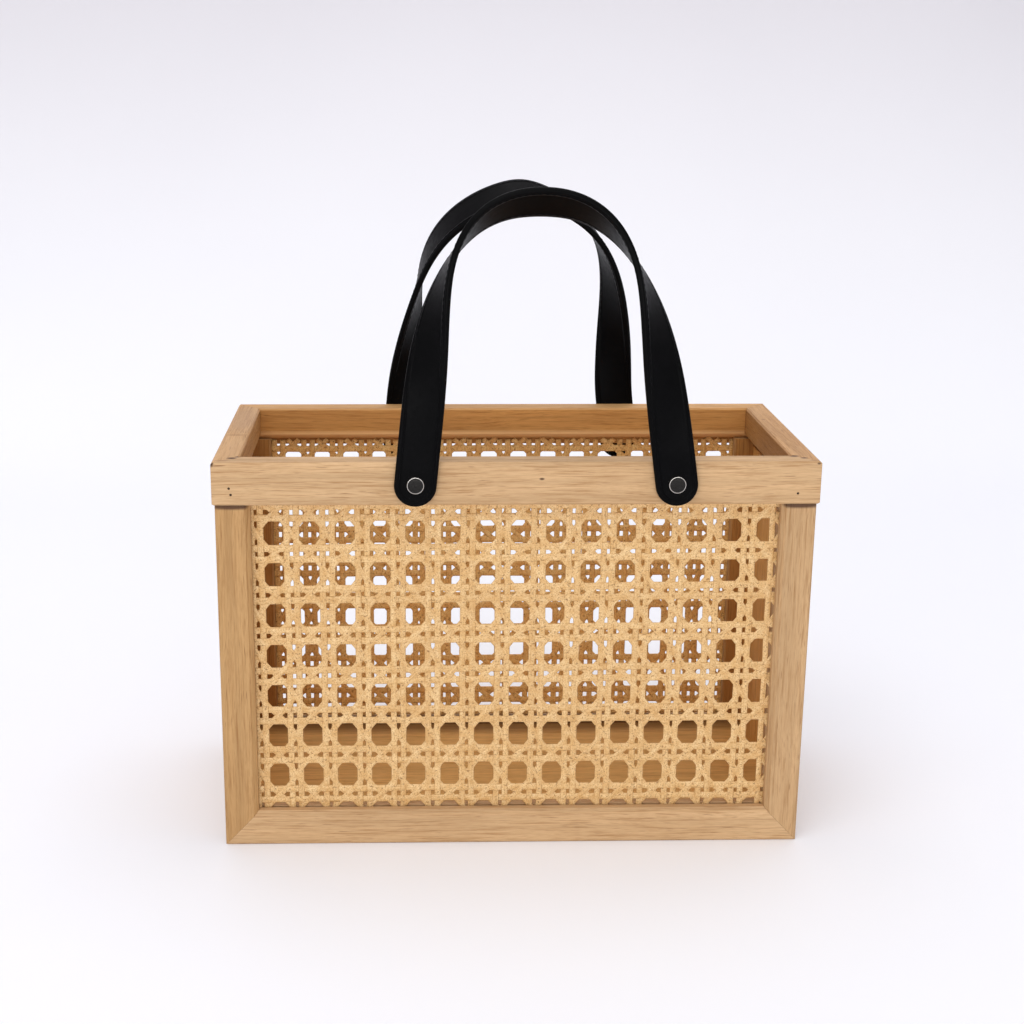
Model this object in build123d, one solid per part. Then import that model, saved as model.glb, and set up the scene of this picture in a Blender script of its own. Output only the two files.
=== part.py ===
"""Wooden basket box bag: mitred rim on a framed box, cane front and back, two twisted leather handles.

Millimetres. X runs along the length, Y from front to back, Z up from under the middle of the base.
"""

from build123d import *
from dataclasses import dataclass
from math import asin, cos, pi, radians, sin
import os

# Rim: one moulding, mitred at four corners
RIM_LENGTH = 280.0
RIM_DEPTH = 125.0
RIM_HEIGHT = 20.3
BOX_HEIGHT = 191.5
RIM_STOCK = 12.0
REBATE_HEIGHT = 4.0
LIP = 6.0
RIM_CHAMFER = 2.5

# Framed body under the rim
BODY_INSET_X = 1.1
BODY_INSET_Y = 0.75
FRAME_STOCK = 12.0
STILE_WIDTH = 16.0
BOTTOM_RAIL_HEIGHT = 17.0
FRAME_CHAMFER = 2.2
SIDE_BOARD = 6.0
BOTTOM_BOARD = 6.0
BOTTOM_BOARD_TOP = 13.0

# Fits and small edges
EASED_EDGE = 0.8
GLUE_LINE = 0.1
GROOVE_DEPTH = 4.0
PANEL_PLAY = 0.3

# Cane webbing: strands run in pairs, so each hole is a pitch less one pair
CANE = 2.0
UPRIGHT_PAIR = 7.35
CROSS_PAIR = 8.6
HOLE_CORNER = 2.3
CANE_HEM = 2.5

# Leather straps and their capped nails
STRAP_WIDTH = 19.0
STRAP = 3.0
SEAT_ABOVE_NAIL = 7.0
SHANK = 2.4
CAP = 8.0
CAP_RISE = 2.0
NAIL_GRIP = 8.0
NAIL_POINT = 2.0
STATIONS = 42
PATH_STEPS = 1200

# Corner pins: side, distance in from the left (below zero) or right end of the rim, height in the rail
PIN = 1.2
PIN_LENGTH = 18.0
PIN_SUNK = 0.3
CORNER_PINS = {
    "front_left_upper_pin": (-1, -8.0, 8.2),
    "front_left_lower_pin": (-1, -8.8, 5.2),
    "front_right_pin": (-1, 10.4, 5.2),
    "back_left_pin": (1, -9.6, 6.4),
    "back_right_pin": (1, 9.0, 7.1),
}


@dataclass
class Weave:
    """Spacing of the cane holes and the middle of one of them."""

    pitch_x: float
    pitch_z: float
    hole_x: float
    hole_z: float


FRONT_WEAVE = Weave(pitch_x=16.45, pitch_z=20.3, hole_x=2.45, hole_z=95.9)
BACK_WEAVE = Weave(pitch_x=15.3, pitch_z=17.5, hole_x=-8.0, hole_z=93.25)


@dataclass
class Handle:
    """One arched strap: side is -1 on the front and 1 on the back."""

    side: int
    nail_drop: float
    end_below_nail: float
    middle_x: float
    half_spacing: float
    rise: float
    shoulder: float
    crown: float
    taper: float
    drift: float
    lean: float
    twist: float
    twist_ease: float
    twist_shift: float
    right_flare: float

    @property
    def nail_z(self):
        """Height of both nails: a drop below the rim's top."""
        return BOX_HEIGHT - self.nail_drop


FRONT_HANDLE = Handle(
    side=-1,
    nail_drop=10.0,
    end_below_nail=10.5,
    middle_x=13.1,
    half_spacing=59.9,
    rise=126.7,
    shoulder=5.7,
    crown=2.3,
    taper=0.26,
    drift=-3.2,
    lean=15.0,
    twist=132.0,
    twist_ease=1.72,
    twist_shift=0.01,
    right_flare=0.0,
)
BACK_HANDLE = Handle(
    side=1,
    nail_drop=14.0,
    end_below_nail=16.0,
    middle_x=2.9,
    half_spacing=56.5,
    rise=128.0,
    shoulder=6.4,
    crown=1.37,
    taper=0.13,
    drift=4.3,
    lean=20.0,
    twist=121.0,
    twist_ease=1.07,
    twist_shift=0.21,
    right_flare=2.8,
)
FLARE_HEIGHT = 30.0

# Places that follow from the sizes above
RIM_BOTTOM = BOX_HEIGHT - RIM_HEIGHT
BODY_X = RIM_LENGTH / 2 - BODY_INSET_X
BODY_Y = RIM_DEPTH / 2 - BODY_INSET_Y
OPENING_X = BODY_X - STILE_WIDTH
INNER_Y = BODY_Y - FRAME_STOCK
CANE_Y = RIM_DEPTH / 2 - LIP
REBATE_TOP = RIM_BOTTOM + REBATE_HEIGHT


def member(outline, length, along):
    """A straight length of moulding from its outline, centred on the origin along X or Y or Z."""
    return extrude(make_face(Polyline(outline, close=True)), amount=length / 2, both=True, dir=along)


def eased(width, height, ease):
    """Four corners of a bar's end, each with its small chamfer, counted from the low outer corner."""
    return [
        [(0, ease), (ease, 0)],
        [(width - ease, 0), (width, ease)],
        [(width, height - ease), (width - ease, height)],
        [(ease, height), (0, height - ease)],
    ]


def rim_outline():
    """Rim moulding: depth from the outer face, then height above its lower edge."""
    low_outer, low_inner, top_inner, top_outer = eased(RIM_STOCK, RIM_HEIGHT, EASED_EDGE)
    rebate = [(LIP, 0), (LIP, REBATE_HEIGHT)]
    chamfer = [(RIM_STOCK - RIM_CHAMFER, REBATE_HEIGHT), (RIM_STOCK, REBATE_HEIGHT + RIM_CHAMFER)]
    return low_outer + rebate + chamfer + top_inner + top_outer


def rim_front():
    """Front rim rail, cut to its mitres by a plan trapezium."""
    y_outer = -RIM_DEPTH / 2
    points = [(0, y_outer + depth, RIM_BOTTOM + height) for depth, height in rim_outline()]
    rail = member(points, RIM_LENGTH, (1, 0, 0))
    half = RIM_LENGTH / 2 - GLUE_LINE
    y_inner = y_outer + RIM_STOCK
    plan = [(-half, y_outer), (half, y_outer), (half - RIM_STOCK, y_inner), (RIM_STOCK - half, y_inner)]
    return rail & Pos(0, 0, RIM_BOTTOM) * extrude(make_face(Polyline(plan, close=True)), amount=RIM_HEIGHT)


def rim_right():
    """Right rim rail, cut to its mitres in the same way."""
    x_outer = RIM_LENGTH / 2
    points = [(x_outer - depth, 0, RIM_BOTTOM + height) for depth, height in rim_outline()]
    rail = member(points, RIM_DEPTH, (0, 1, 0))
    half = RIM_DEPTH / 2
    x_inner = x_outer - RIM_STOCK
    plan = [(x_outer, -half), (x_outer, half), (x_inner, half - RIM_STOCK), (x_inner, RIM_STOCK - half)]
    return rail & Pos(0, 0, RIM_BOTTOM) * extrude(make_face(Polyline(plan, close=True)), amount=RIM_HEIGHT)


def frame_outline(width):
    """Stile or bottom rail: depth from the front face, then distance in from the outer edge."""
    outer_front, outer_back, inner_back, inner_front = eased(FRAME_STOCK, width, EASED_EDGE)
    groove_front = BODY_Y - CANE_Y
    groove_back = groove_front + CANE
    groove_floor = width - GROOVE_DEPTH
    groove = [(groove_back, width), (groove_back, groove_floor)]
    groove += [(groove_front, groove_floor), (groove_front, width)]
    arris = [(FRAME_CHAMFER, width), (0, width - FRAME_CHAMFER)]
    return outer_front + outer_back + inner_back + groove + arris


def front_left_stile():
    """Left stile of the front frame: mitred at its foot, half lapped into the rim's rebate at its head."""
    tongue_top = REBATE_TOP - GLUE_LINE
    points = [(-BODY_X + across, -BODY_Y + depth, 0) for depth, across in frame_outline(STILE_WIDTH)]
    stile = extrude(make_face(Polyline(points, close=True)), amount=tongue_top, dir=(0, 0, 1))
    inner_x = -BODY_X + STILE_WIDTH
    foot = [(-BODY_X, 0), (inner_x, BOTTOM_RAIL_HEIGHT), (inner_x, tongue_top), (-BODY_X, tongue_top)]
    side_view = make_face(Polyline([(x, -BODY_Y, z) for x, z in foot], close=True))
    stile &= extrude(side_view, amount=FRAME_STOCK, dir=(0, 1, 0))
    front_lip = Box(STILE_WIDTH, FRAME_STOCK, REBATE_HEIGHT, align=(Align.MIN, Align.MAX, Align.MIN))
    side_lip = Box(STILE_WIDTH, FRAME_STOCK, REBATE_HEIGHT, align=(Align.MAX, Align.MIN, Align.MIN))
    stile -= Pos(-BODY_X, -CANE_Y, RIM_BOTTOM - GLUE_LINE) * front_lip
    return stile - Pos(LIP + GLUE_LINE - RIM_LENGTH / 2, -BODY_Y, RIM_BOTTOM - GLUE_LINE) * side_lip


def front_bottom_rail():
    """Bottom rail of the front frame, mitred into both stiles."""
    points = [(0, -BODY_Y + depth, across) for depth, across in frame_outline(BOTTOM_RAIL_HEIGHT)]
    rail = member(points, 2 * BODY_X, (1, 0, 0))
    half = BODY_X - GLUE_LINE
    half_top = half - STILE_WIDTH
    shape = [(-half, 0), (half, 0), (half_top, BOTTOM_RAIL_HEIGHT), (-half_top, BOTTOM_RAIL_HEIGHT)]
    side_view = make_face(Polyline([(x, -BODY_Y, z) for x, z in shape], close=True))
    return rail & extrude(side_view, amount=FRAME_STOCK, dir=(0, 1, 0))


def right_side_board():
    """Solid side between the front and back stiles, under the rim."""
    board = Box(SIDE_BOARD, 2 * INNER_Y, RIM_BOTTOM - GLUE_LINE, align=(Align.MAX, Align.CENTER, Align.MIN))
    return Pos(BODY_X, 0, 0) * board


def bottom_board():
    """Floor of the bag, fitted between the side boards and the bottom rails."""
    length = 2 * (BODY_X - SIDE_BOARD)
    board = Box(length, 2 * INNER_Y, BOTTOM_BOARD, align=(Align.CENTER, Align.CENTER, Align.MAX))
    return Pos(0, 0, BOTTOM_BOARD_TOP) * board


def octagon(width, height, corner):
    """Cane hole: a rectangle with its corners cut by the slanting strands."""
    x, z = width / 2, height / 2
    right = [(x - corner, -z), (x, corner - z), (x, z - corner), (x - corner, z)]
    left = [(-px, -pz) for px, pz in right]
    return make_face(Polyline(right + left, close=True))


def cane_panel(weave, side):
    """Webbing sheet with its holes, caught in the grooves of one frame."""
    half_x = OPENING_X + GROOVE_DEPTH - PANEL_PLAY
    low = BOTTOM_RAIL_HEIGHT - GROOVE_DEPTH + PANEL_PLAY
    high = REBATE_TOP - PANEL_PLAY
    width, height = 2 * half_x, high - low
    middle = (low + high) / 2
    window = Pos(0, middle) * Rectangle(width - 2 * CANE_HEM, height - 2 * CANE_HEM)
    hole = octagon(weave.pitch_x - UPRIGHT_PAIR, weave.pitch_z - CROSS_PAIR, HOLE_CORNER)
    columns = int(RIM_LENGTH / weave.pitch_x) + 1
    rows = int(BOX_HEIGHT / weave.pitch_z) + 1
    holes = []
    for column in range(-columns, columns + 1):
        for row in range(-rows, rows + 1):
            x = weave.hole_x + column * weave.pitch_x
            z = weave.hole_z + row * weave.pitch_z
            if abs(x) < half_x and low < z < high:
                holes += (Pos(x, z) * hole & window).faces()
    sheet = Pos(0, middle) * Rectangle(width, height) - holes
    panel = extrude(Plane.XZ * sheet, amount=CANE, dir=(0, 1, 0))
    return Pos(0, -CANE_Y if side < 0 else CANE_Y - CANE, 0) * panel


def path_point(handle, turn):
    """Middle of the strap; turn runs from 0 over the left nail to 1 over the right one."""
    half_turn = min(turn, 1 - turn) * 2
    angle = pi / 2 * half_turn**4
    height = handle.rise * sin(angle) ** (2 / handle.shoulder)
    share = height / handle.rise
    reach = handle.half_spacing * (1 - handle.taper * share) * cos(angle) ** (2 / handle.crown)
    x = handle.middle_x + handle.drift * share
    if turn < 0.5:
        x -= reach
    else:
        x += reach + handle.right_flare * max(0, 1 - height / FLARE_HEIGHT) ** 2
    z = handle.nail_z + height
    above_rim = max(0, z - BOX_HEIGHT) / (handle.nail_z + handle.rise - BOX_HEIGHT)
    y = handle.side * (RIM_DEPTH / 2 + STRAP / 2 - handle.lean * above_rim**2)
    return Vector(x, y, z)


def strap_stations(handle):
    """Frames along the strap above its nails: point, direction, outward normal and the way across."""
    points = [path_point(handle, step / PATH_STEPS) for step in range(PATH_STEPS + 1)]
    seat = handle.nail_z + SEAT_ABOVE_NAIL
    points = [point for point in points if point.Z >= seat]
    lengths = [0.0]
    for before, after in zip(points, points[1:]):
        lengths.append(lengths[-1] + (after - before).length)
    rim_length = next(length for point, length in zip(points, lengths) if point.Z >= BOX_HEIGHT)
    free_length = lengths[-1] - 2 * rim_length
    targets = [rim_length + free_length * station / STATIONS for station in range(STATIONS + 1)]
    frames = []
    index = 0
    for target in [0.0] + targets + [lengths[-1]]:
        while index < len(points) - 2 and lengths[index + 1] < target:
            index += 1
        step = points[index + 1] - points[index]
        point = points[index] + step * ((target - lengths[index]) / step.length)
        before = points[max(0, index - 1)]
        after = points[min(len(points) - 1, index + 2)]
        direction = (after - before).normalized()
        share = min(1, max(0, (target - rim_length) / free_length))
        share += handle.twist_shift * share * (1 - share)
        turn = 1 - abs(2 * share - 1)
        twist = radians(handle.twist) * sin(pi / 2 * max(0, turn) ** handle.twist_ease)
        flat = Vector(0, handle.side, 0)
        flat = (flat - direction * flat.dot(direction)).normalized()
        across = direction.cross(flat) * -handle.side
        normal = flat * cos(twist) - across * sin(twist)
        across = across * cos(twist) + flat * sin(twist)
        frames.append((point, direction, normal, across))
    return frames


def strap_section(frame):
    """The strap's rectangular cross section at one station."""
    point, _, normal, across = frame
    half_width = across * (STRAP_WIDTH / 2)
    half_thick = normal * (STRAP / 2)
    corners = [
        point - half_width - half_thick,
        point + half_width - half_thick,
        point + half_width + half_thick,
        point - half_width + half_thick,
    ]
    return make_face(Polyline(corners, close=True))


def strap_end(handle, frame, up):
    """Flat round-ended end against the rim rail, and the place of its nail; up is the way to the arch."""
    point, _, normal, across = frame
    below_seat = SEAT_ABOVE_NAIL + handle.end_below_nail
    radius = STRAP_WIDTH / 2
    straight = below_seat - radius
    plane = Plane(origin=point - normal * (STRAP / 2), x_dir=across, z_dir=normal)
    down = 1 if plane.y_dir.dot(up) < 0 else -1
    outline = Pos(0, down * straight / 2) * Rectangle(STRAP_WIDTH, straight)
    outline += Pos(0, down * straight) * Circle(radius)
    slab = extrude(plane * outline, amount=STRAP)
    return slab, plane.location * Pos(0, down * SEAT_ABOVE_NAIL, STRAP)


def handle_parts(handle):
    """The twisted strap and the two places where nails go through it."""
    frames = strap_stations(handle)
    sections = [strap_section(frame) for frame in frames]
    strap = loft(sections, ruled=True)
    left, left_nail = strap_end(handle, frames[0], frames[0][1])
    right, right_nail = strap_end(handle, frames[-1], frames[-1][1] * -1)
    strap = strap + left + right
    for nail in (left_nail, right_nail):
        strap -= nail * Cylinder(SHANK / 2, 3 * STRAP)
    return strap, [left_nail, right_nail]


def capped_nail():
    """Domed cap on a pointed shank, with the cap's flat underside at the origin and the shank below."""
    cap_radius = CAP / 2
    dome_radius = (cap_radius**2 + CAP_RISE**2) / (2 * CAP_RISE)
    half_angle = asin(cap_radius / dome_radius) / 2
    middle = (dome_radius * sin(half_angle), CAP_RISE - dome_radius * (1 - cos(half_angle)))
    shank_end = -STRAP - NAIL_GRIP
    dome = ThreePointArc((cap_radius, 0), middle, (0, CAP_RISE))
    tip = (0, shank_end - NAIL_POINT)
    stem = Polyline((0, CAP_RISE), tip, (SHANK / 2, shank_end), (SHANK / 2, 0), (cap_radius, 0))
    return revolve(Plane.XZ * make_face(dome + stem), axis=Axis.Z)


def pin_place(side, from_end, height):
    """Middle of a corner pin: side is -1 in front, and from_end is below zero at the left corner."""
    x = RIM_LENGTH / 2 - from_end if from_end > 0 else -RIM_LENGTH / 2 - from_end
    y = side * (RIM_DEPTH / 2 - PIN_SUNK - PIN_LENGTH / 2)
    return Pos(x, y, RIM_BOTTOM + height) * Rot(90, 0, 0)


def pin_hole(side):
    """Round hole for a corner pin, open at the rail's face."""
    return Pos(0, 0, -side * PIN_SUNK / 2) * Cylinder(PIN / 2, PIN_LENGTH + PIN_SUNK)


def build():
    """Every piece of the bag by its name."""
    rim = {"rim_front_rail": rim_front(), "rim_right_rail": rim_right()}
    rim["rim_back_rail"] = mirror(rim["rim_front_rail"], about=Plane.XZ)
    rim["rim_left_rail"] = mirror(rim["rim_right_rail"], about=Plane.YZ)

    parts = {"front_left_stile": front_left_stile(), "front_bottom_rail": front_bottom_rail()}
    parts["front_right_stile"] = mirror(parts["front_left_stile"], about=Plane.YZ)
    parts["back_left_stile"] = mirror(parts["front_left_stile"], about=Plane.XZ)
    parts["back_right_stile"] = Rot(0, 0, 180) * parts["front_left_stile"]
    parts["back_bottom_rail"] = mirror(parts["front_bottom_rail"], about=Plane.XZ)
    parts["right_side_board"] = right_side_board()
    parts["left_side_board"] = mirror(parts["right_side_board"], about=Plane.YZ)
    parts["bottom_board"] = bottom_board()
    parts["front_cane_panel"] = cane_panel(FRONT_WEAVE, -1)
    parts["back_cane_panel"] = cane_panel(BACK_WEAVE, 1)

    for name, handle in (("front", FRONT_HANDLE), ("back", BACK_HANDLE)):
        strap, nail_places = handle_parts(handle)
        parts[name + "_handle_strap"] = strap
        for end, place in zip(("left", "right"), nail_places):
            nail = place * capped_nail()
            parts[f"{name}_{end}_handle_nail"] = nail
            rim[f"rim_{name}_rail"] -= nail

    for name, (side, from_end, height) in CORNER_PINS.items():
        place = pin_place(side, from_end, height)
        parts[name] = place * Cylinder(PIN / 2, PIN_LENGTH)
        hole = place * pin_hole(side)
        for rail in rim:
            rim[rail] -= hole
    return parts | rim


os.makedirs("parts", exist_ok=True)
for node, piece in build().items():
    solids = piece.solids()
    export_step(solids[0] if len(solids) == 1 else piece, f"parts/{node}.step")
    print(node, len(solids), "solid,", round(piece.volume / 1000, 2), "cm3")
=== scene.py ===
from dataclasses import dataclass
from math import cos, hypot, pi, radians, sin
import random

import bpy
from mathutils import Matrix, Vector


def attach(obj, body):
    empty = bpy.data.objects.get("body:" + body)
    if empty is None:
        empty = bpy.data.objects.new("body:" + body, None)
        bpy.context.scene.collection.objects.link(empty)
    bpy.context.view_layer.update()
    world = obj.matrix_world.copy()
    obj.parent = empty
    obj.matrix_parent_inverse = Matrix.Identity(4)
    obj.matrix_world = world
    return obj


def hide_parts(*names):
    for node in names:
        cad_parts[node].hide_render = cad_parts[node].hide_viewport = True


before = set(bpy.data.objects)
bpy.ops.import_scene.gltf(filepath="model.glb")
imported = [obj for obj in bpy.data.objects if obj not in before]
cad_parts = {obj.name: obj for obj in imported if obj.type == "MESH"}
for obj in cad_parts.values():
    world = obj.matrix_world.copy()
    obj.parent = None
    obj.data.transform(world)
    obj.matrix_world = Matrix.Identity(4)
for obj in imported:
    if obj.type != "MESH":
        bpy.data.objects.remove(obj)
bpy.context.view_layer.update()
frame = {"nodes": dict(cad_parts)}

MM = 0.001


# ---------------------------------------------------------------- mesh helpers


def mesh_object(name, points, faces):
    """A new smooth mesh object from points in millimetres."""
    mesh = bpy.data.meshes.new(name)
    mesh.from_pydata([(x * MM, y * MM, z * MM) for x, y, z in points], [], faces)
    mesh.polygons.foreach_set("use_smooth", [True] * len(mesh.polygons))
    mesh.update()
    piece = bpy.data.objects.new(name, mesh)
    bpy.context.scene.collection.objects.link(piece)
    return piece


def skin(rings, base=0):
    """Faces that join rings of equal size, with a cap on each end; base is the first point's number."""
    count = len(rings[0])
    faces = []
    for ring in range(len(rings) - 1):
        for k in range(count):
            a = base + ring * count + k
            b = base + ring * count + (k + 1) % count
            faces.append((a, b, b + count, a + count))
    faces.append(tuple(base + k for k in reversed(range(count))))
    faces.append(tuple(base + (len(rings) - 1) * count + k for k in range(count)))
    return faces


def keep_on_points(piece, name, values):
    """Stores three numbers for each point of a piece, which its material reads."""
    layer = piece.data.attributes.new(name, "FLOAT_VECTOR", "POINT")
    layer.data.foreach_set("vector", [number for triple in values for number in triple])


def finish_piece(piece, material, nodes=()):
    """Gives a new piece its material and its body, and hides the CAD nodes that it stands for."""
    piece.data.materials.append(material)
    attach(piece, "root")
    if nodes:
        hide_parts(*nodes)


# ---------------------------------------------------------------- material helpers


class Shader:
    """A material's node tree with short calls for the nodes used here."""

    def __init__(self, name):
        self.material = bpy.data.materials.new(name)
        self.material.use_nodes = True
        self.tree = self.material.node_tree
        self.surface = self.tree.nodes["Principled BSDF"]
        self.place = self.node("ShaderNodeTexCoord").outputs["Object"]

    def node(self, kind, **settings):
        made = self.tree.nodes.new(kind)
        for key, value in settings.items():
            setattr(made, key, value)
        return made

    def join(self, source, target):
        """Links a socket, or sets a plain value."""
        if isinstance(source, bpy.types.NodeSocket):
            self.tree.links.new(source, target)
        else:
            target.default_value = source

    def stretch(self, scale, shift=(0, 0, 0), place=None):
        """Object coordinates, or another place, scaled and then shifted."""
        scaled = self.node("ShaderNodeMapping")
        scaled.inputs["Scale"].default_value = scale
        scaled.inputs["Location"].default_value = shift
        self.join(self.place if place is None else place, scaled.inputs["Vector"])
        return scaled.outputs[0]

    def noise(self, vector, detail=2.0, roughness=0.5):
        made = self.node("ShaderNodeTexNoise")
        made.inputs["Scale"].default_value = 1.0
        made.inputs["Detail"].default_value = detail
        made.inputs["Roughness"].default_value = roughness
        self.join(vector, made.inputs["Vector"])
        return made.outputs["Fac"]

    def even_noise(self, scale, shift=(0, 0, 0), detail=2.0, roughness=0.5):
        """Noise of one scale along every axis."""
        return self.noise(self.stretch((scale, scale, scale), shift), detail, roughness)

    def remap(self, value, low, high, to_low=0.0, to_high=1.0):
        made = self.node("ShaderNodeMapRange")
        for key, number in (("From Min", low), ("From Max", high), ("To Min", to_low), ("To Max", to_high)):
            made.inputs[key].default_value = number
        self.join(value, made.inputs["Value"])
        return made.outputs["Result"]

    def math(self, operation, a, b=0.0):
        made = self.node("ShaderNodeMath", operation=operation)
        self.join(a, made.inputs[0])
        self.join(b, made.inputs[1])
        return made.outputs[0]

    def mix(self, share, a, b, blend="MIX"):
        made = self.node("ShaderNodeMix", data_type="RGBA", blend_type=blend)
        self.join(share, made.inputs["Factor"])
        self.join(a, made.inputs["A"])
        self.join(b, made.inputs["B"])
        return made.outputs["Result"]

    def bump(self, height, depth, strength=1.0, normal=None):
        made = self.node("ShaderNodeBump")
        made.inputs["Strength"].default_value = strength
        made.inputs["Distance"].default_value = depth
        self.join(height, made.inputs["Height"])
        if normal is not None:
            self.join(normal, made.inputs["Normal"])
        return made.outputs["Normal"]

    def blend(self, first, first_share, second, second_share):
        """The sum of two values, each times its share."""
        one = self.math("MULTIPLY", first, first_share)
        other = self.math("MULTIPLY", second, second_share)
        return self.math("ADD", one, other)

    def attribute(self, name, output):
        return self.node("ShaderNodeAttribute", attribute_name=name).outputs[output]

    def parts(self, vector):
        """The X, Y and Z outputs of a vector."""
        split = self.node("ShaderNodeSeparateXYZ")
        self.join(vector, split.inputs[0])
        return split.outputs

    def set(self, **inputs):
        """Sets or links surface inputs, with _ for each space in their names."""
        for key, value in inputs.items():
            self.join(value, self.surface.inputs[key.replace("_", " ")])


def tone(red, green, blue):
    """Linear colour from a display colour given as 0 to 255."""
    values = []
    for part in (red, green, blue):
        share = part / 255
        values.append(share / 12.92 if share <= 0.04045 else ((share + 0.055) / 1.055) ** 2.4)
    return (*values, 1.0)


# ---------------------------------------------------------------- wood

WOOD_CONTRAST = 1.55
WOOD_ROUGHNESS = 0.62
GRAIN_BEND = 0.006


def grain_scale(grain, lengthwise, crosswise):
    """Noise scale per axis: slow along the fibres and quick across them."""
    return tuple(lengthwise if axis == grain else crosswise for axis in "xyz")


def spot(shader, centre, size):
    """1 at a small ellipsoid's centre (mm), 0 outside it."""
    scale = tuple(1 / (part * MM) for part in size)
    shift = tuple(-place / part for place, part in zip(centre, size))
    local = shader.stretch(scale, shift)
    length = shader.node("ShaderNodeVectorMath", operation="LENGTH")
    shader.join(local, length.inputs[0])
    return shader.remap(length.outputs["Value"], 1.0, 0.45)


def facing(shader, direction, low=0.55, high=0.85):
    """1 on faces that look along a direction, 0 on the others."""
    normal = shader.node("ShaderNodeNewGeometry").outputs["Normal"]
    product = shader.node("ShaderNodeVectorMath", operation="DOT_PRODUCT")
    shader.join(normal, product.inputs[0])
    product.inputs[1].default_value = direction
    return shader.remap(product.outputs["Value"], low, high)


def grain_place(shader, grain, shift):
    """Object coordinates pushed sideways a little along the piece, so that its grain isn't dead straight."""
    warp = shader.noise(shader.stretch(grain_scale(grain, 9, 60), shift))
    offset = shader.node("ShaderNodeCombineXYZ")
    for axis in "XYZ":
        if axis.lower() != grain:
            shader.join(shader.math("MULTIPLY", warp, GRAIN_BEND), offset.inputs[axis])
    bent = shader.node("ShaderNodeVectorMath", operation="ADD")
    shader.join(shader.place, bent.inputs[0])
    shader.join(offset.outputs[0], bent.inputs[1])
    return bent.outputs[0]


def wood(name, grain, base, seed, marks, sides):
    """Planed oak with fibres along one axis; base is its display colour.

    marks are small places with a colour set on them, those on the stiles' tops and at the back of the bottom
    being painted shadow, and sides are faces with a multiply tint of painted shade.
    """
    shader = Shader(name)
    shift = (seed * 3.7, seed * 1.9, seed * 2.3)
    place = grain_place(shader, grain, shift)

    def grained(lengthwise, crosswise, **settings):
        scale = grain_scale(grain, lengthwise, crosswise)
        return shader.noise(shader.stretch(scale, shift, place), **settings)

    bands = grained(6, 210, detail=3.0)
    streaks = grained(36, 1150, detail=4.0, roughness=0.62)
    fibres = grained(170, 4300)
    pores = grained(90, 2300, detail=1.0)
    cloud = shader.even_noise(14, shift)

    light = tone(*(min(255, part * 1.09 + 6) for part in base))
    middle = tone(*base)
    dark = tone(base[0] * 0.87, base[1] * 0.80, base[2] * 0.70)
    deep = tone(base[0] * 0.66, base[1] * 0.55, base[2] * 0.42)
    colour = shader.mix(shader.remap(bands, 0.36, 0.66), light, middle)
    streak_share = shader.remap(streaks, 0.50, 0.74, 0.0, 0.75 * WOOD_CONTRAST)
    colour = shader.mix(streak_share, colour, dark)
    colour = shader.mix(shader.remap(streaks, 0.46, 0.26, 0.0, 0.45 * WOOD_CONTRAST), colour, light)
    colour = shader.mix(shader.remap(fibres, 0.45, 0.75, 0.0, 0.30 * WOOD_CONTRAST), colour, dark)
    colour = shader.mix(shader.remap(pores, 0.66, 0.76, 0.0, 0.45 * WOOD_CONTRAST), colour, deep)
    colour = shader.mix(shader.remap(cloud, 0.35, 0.7, 0.0, 0.28), colour, dark)
    # Painted shade: whole faces tinted by the way they face
    for direction, tint in sides:
        share = facing(shader, direction)
        colour = shader.mix(share, colour, tone(*tint), blend="MULTIPLY")
    # Marks, among them painted shadow lines and painted shade
    for centre, size, strength, mark_colour in marks:
        share = shader.math("MULTIPLY", spot(shader, centre, size), strength)
        colour = shader.mix(share, colour, tone(*mark_colour))
    height = shader.blend(fibres, 0.5, streaks, 0.5)
    shader.set(Base_Color=colour, Normal=shader.bump(height, 0.12 * MM, 0.5))
    shader.set(Roughness=shader.remap(fibres, 0.3, 0.7, WOOD_ROUGHNESS - 0.07, WOOD_ROUGHNESS + 0.08))
    shader.surface.inputs["Specular IOR Level"].default_value = 0.35
    return shader.material


# Colours are display values from 0 to 255, and places and sizes of marks are in millimetres
DARK_MARK = (70, 40, 20)
SOFT_MARK = (150, 105, 62)
FRONT_FACE = -62.5

# Painted shade as tints of single faces: inner faces darker and browner, outer side faces cooler
INNER_BACK_SHADE = ((0.0, -1.0, 0.0), (238, 219, 178))
INNER_RIGHT_SHADE = ((-1.0, 0.0, 0.0), (205, 188, 148))
INNER_LEFT_SHADE = ((1.0, 0.0, 0.0), (236, 222, 190))
OUTER_LEFT_SHADE = ((-1.0, 0.0, 0.0), (236, 241, 255))
OUTER_RIGHT_SHADE = ((1.0, 0.0, 0.0), (236, 241, 255))

# Dark gaps along the two front mitres of the rim, on the rails of both directions
MITRE_GAPS = (
    ((-131.2, -53.6, 191.3), (2.8, 1.9, 1.6), 0.95, DARK_MARK),
    ((-128.6, -51.2, 191.3), (1.8, 1.4, 1.6), 0.95, DARK_MARK),
    ((-139.6, -62.1, 190.9), (1.2, 1.2, 1.8), 0.95, DARK_MARK),
    ((-135.5, -58.0, 191.3), (4.2, 0.9, 1.6), 0.6, SOFT_MARK),
    ((129.4, -51.9, 191.3), (2.8, 1.7, 1.6), 0.95, DARK_MARK),
    ((133.2, -55.6, 191.3), (2.0, 1.3, 1.6), 0.95, DARK_MARK),
    ((137.5, -60.0, 191.3), (4.0, 0.9, 1.6), 0.6, SOFT_MARK),
)
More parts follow.
